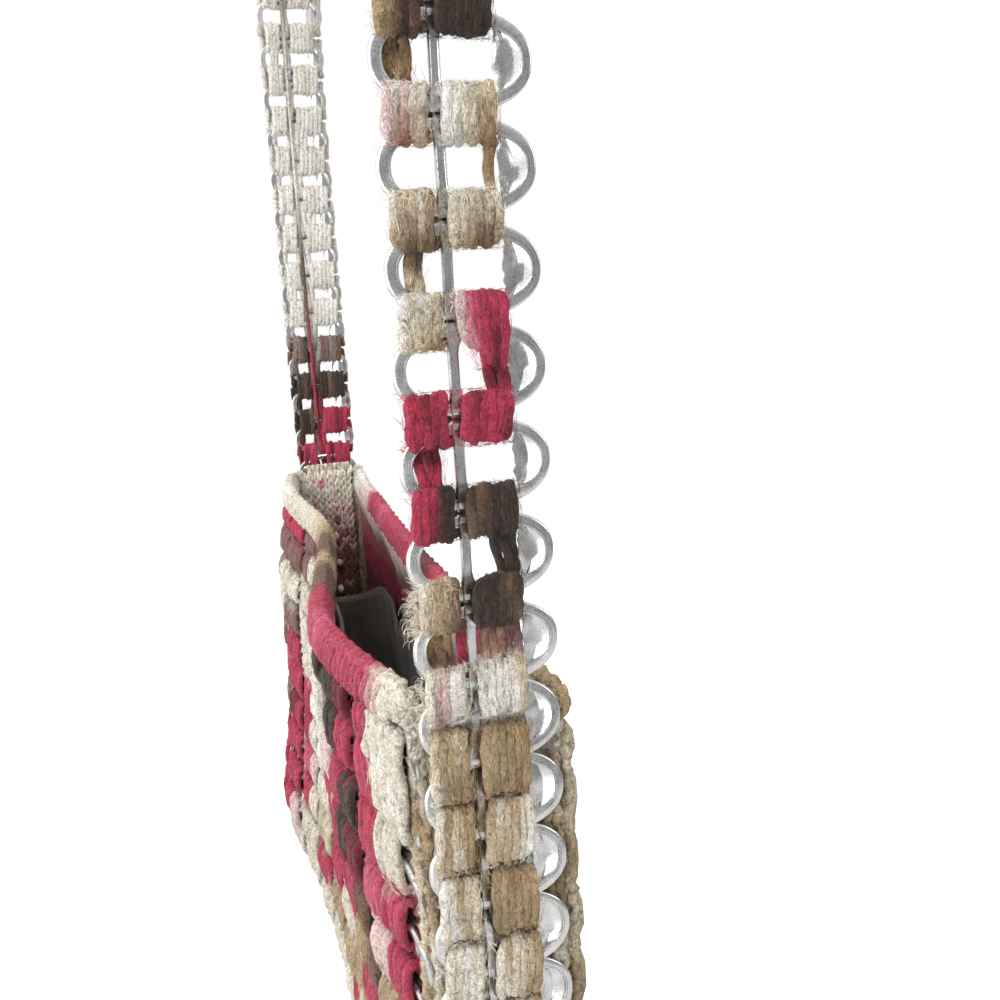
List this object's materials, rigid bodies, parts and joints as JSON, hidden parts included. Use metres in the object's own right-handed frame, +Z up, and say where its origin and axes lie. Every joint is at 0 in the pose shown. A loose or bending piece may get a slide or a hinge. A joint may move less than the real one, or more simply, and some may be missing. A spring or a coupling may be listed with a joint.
{
  "type": "crocheted pull-tab bag",
  "caption": "Narrow shoulder bag of drink-can pull tabs crocheted together with thick wool, its strap and end gussets one strip of tabs, open at the top.",
  "frame": {"origin": "middle of the bag's flat underside, under the middle of the strap's arch", "axes": "+Z up to the top of the strap, +X along the mouth towards the near gusset, -Y towards the front panel"},
  "size_m": [0.2896, 0.0644, 0.4186],
  "materials": {
    "tab_metal": "satin rolled aluminium, finely pitted, bright on the rolled rims",
    "strap_wool": "fuzzy variegated wool: magenta, dark brown, tan and cream",
    "panel_wool": "fuzzy variegated wool: magenta, pink, cream, tan and brown",
    "gusset_wool": "fuzzy variegated wool: tan and cream",
    "border_wool": "crocheted wool edge: magenta, cream, tan and brown",
    "lining_cloth": "plain woven cloth, greenish charcoal"
  },
  "bodies": {
    "root": {"strap_tab_01": "tab_metal", "strap_tab_02": "tab_metal", "strap_tab_03": "tab_metal", "strap_tab_04": "tab_metal", "strap_tab_05": "tab_metal", "strap_tab_06": "tab_metal", "strap_tab_07": "tab_metal", "strap_tab_08": "tab_metal", "strap_tab_09": "tab_metal", "strap_tab_10": "tab_metal", "strap_tab_11": "tab_metal", "strap_tab_12": "tab_metal", "strap_tab_13": "tab_metal", "strap_tab_14": "tab_metal", "strap_tab_15": "tab_metal", "strap_tab_16": "tab_metal", "strap_tab_17": "tab_metal", "strap_tab_18": "tab_metal", "strap_tab_19": "tab_metal", "strap_tab_20": "tab_metal", "strap_tab_21": "tab_metal", "strap_tab_22": "tab_metal", "strap_tab_23": "tab_metal", "strap_tab_24": "tab_metal", "strap_tab_25": "tab_metal", "strap_tab_26": "tab_metal", "strap_tab_27": "tab_metal", "strap_tab_28": "tab_metal", "strap_tab_29": "tab_metal", "strap_tab_30": "tab_metal", "strap_tab_31": "tab_metal", "strap_tab_32": "tab_metal", "strap_tab_33": "tab_metal", "strap_tab_34": "tab_metal", "strap_tab_35": "tab_metal", "strap_tab_36": "tab_metal", "strap_tab_37": "tab_metal", "strap_tab_38": "tab_metal", "strap_tab_39": "tab_metal", "strap_tab_40": "tab_metal", "strap_tab_41": "tab_metal", "strap_tab_42": "tab_metal", "strap_tab_43": "tab_metal", "strap_tab_44": "tab_metal", "gusset_tab_01": "tab_metal", "gusset_tab_02": "tab_metal", "gusset_tab_03": "tab_metal", "gusset_tab_04": "tab_metal", "gusset_tab_05": "tab_metal", "gusset_tab_06": "tab_metal", "strap_wool": "strap_wool", "strap_wool_near": "strap_wool", "gusset_near": "gusset_wool", "gusset_far": "gusset_wool", "base": "gusset_wool", "panel_front": "panel_wool", "panel_back": "panel_wool", "border_front": "border_wool", "border_back": "border_wool", "lining": "lining_cloth"}
  },
  "joints": []
}
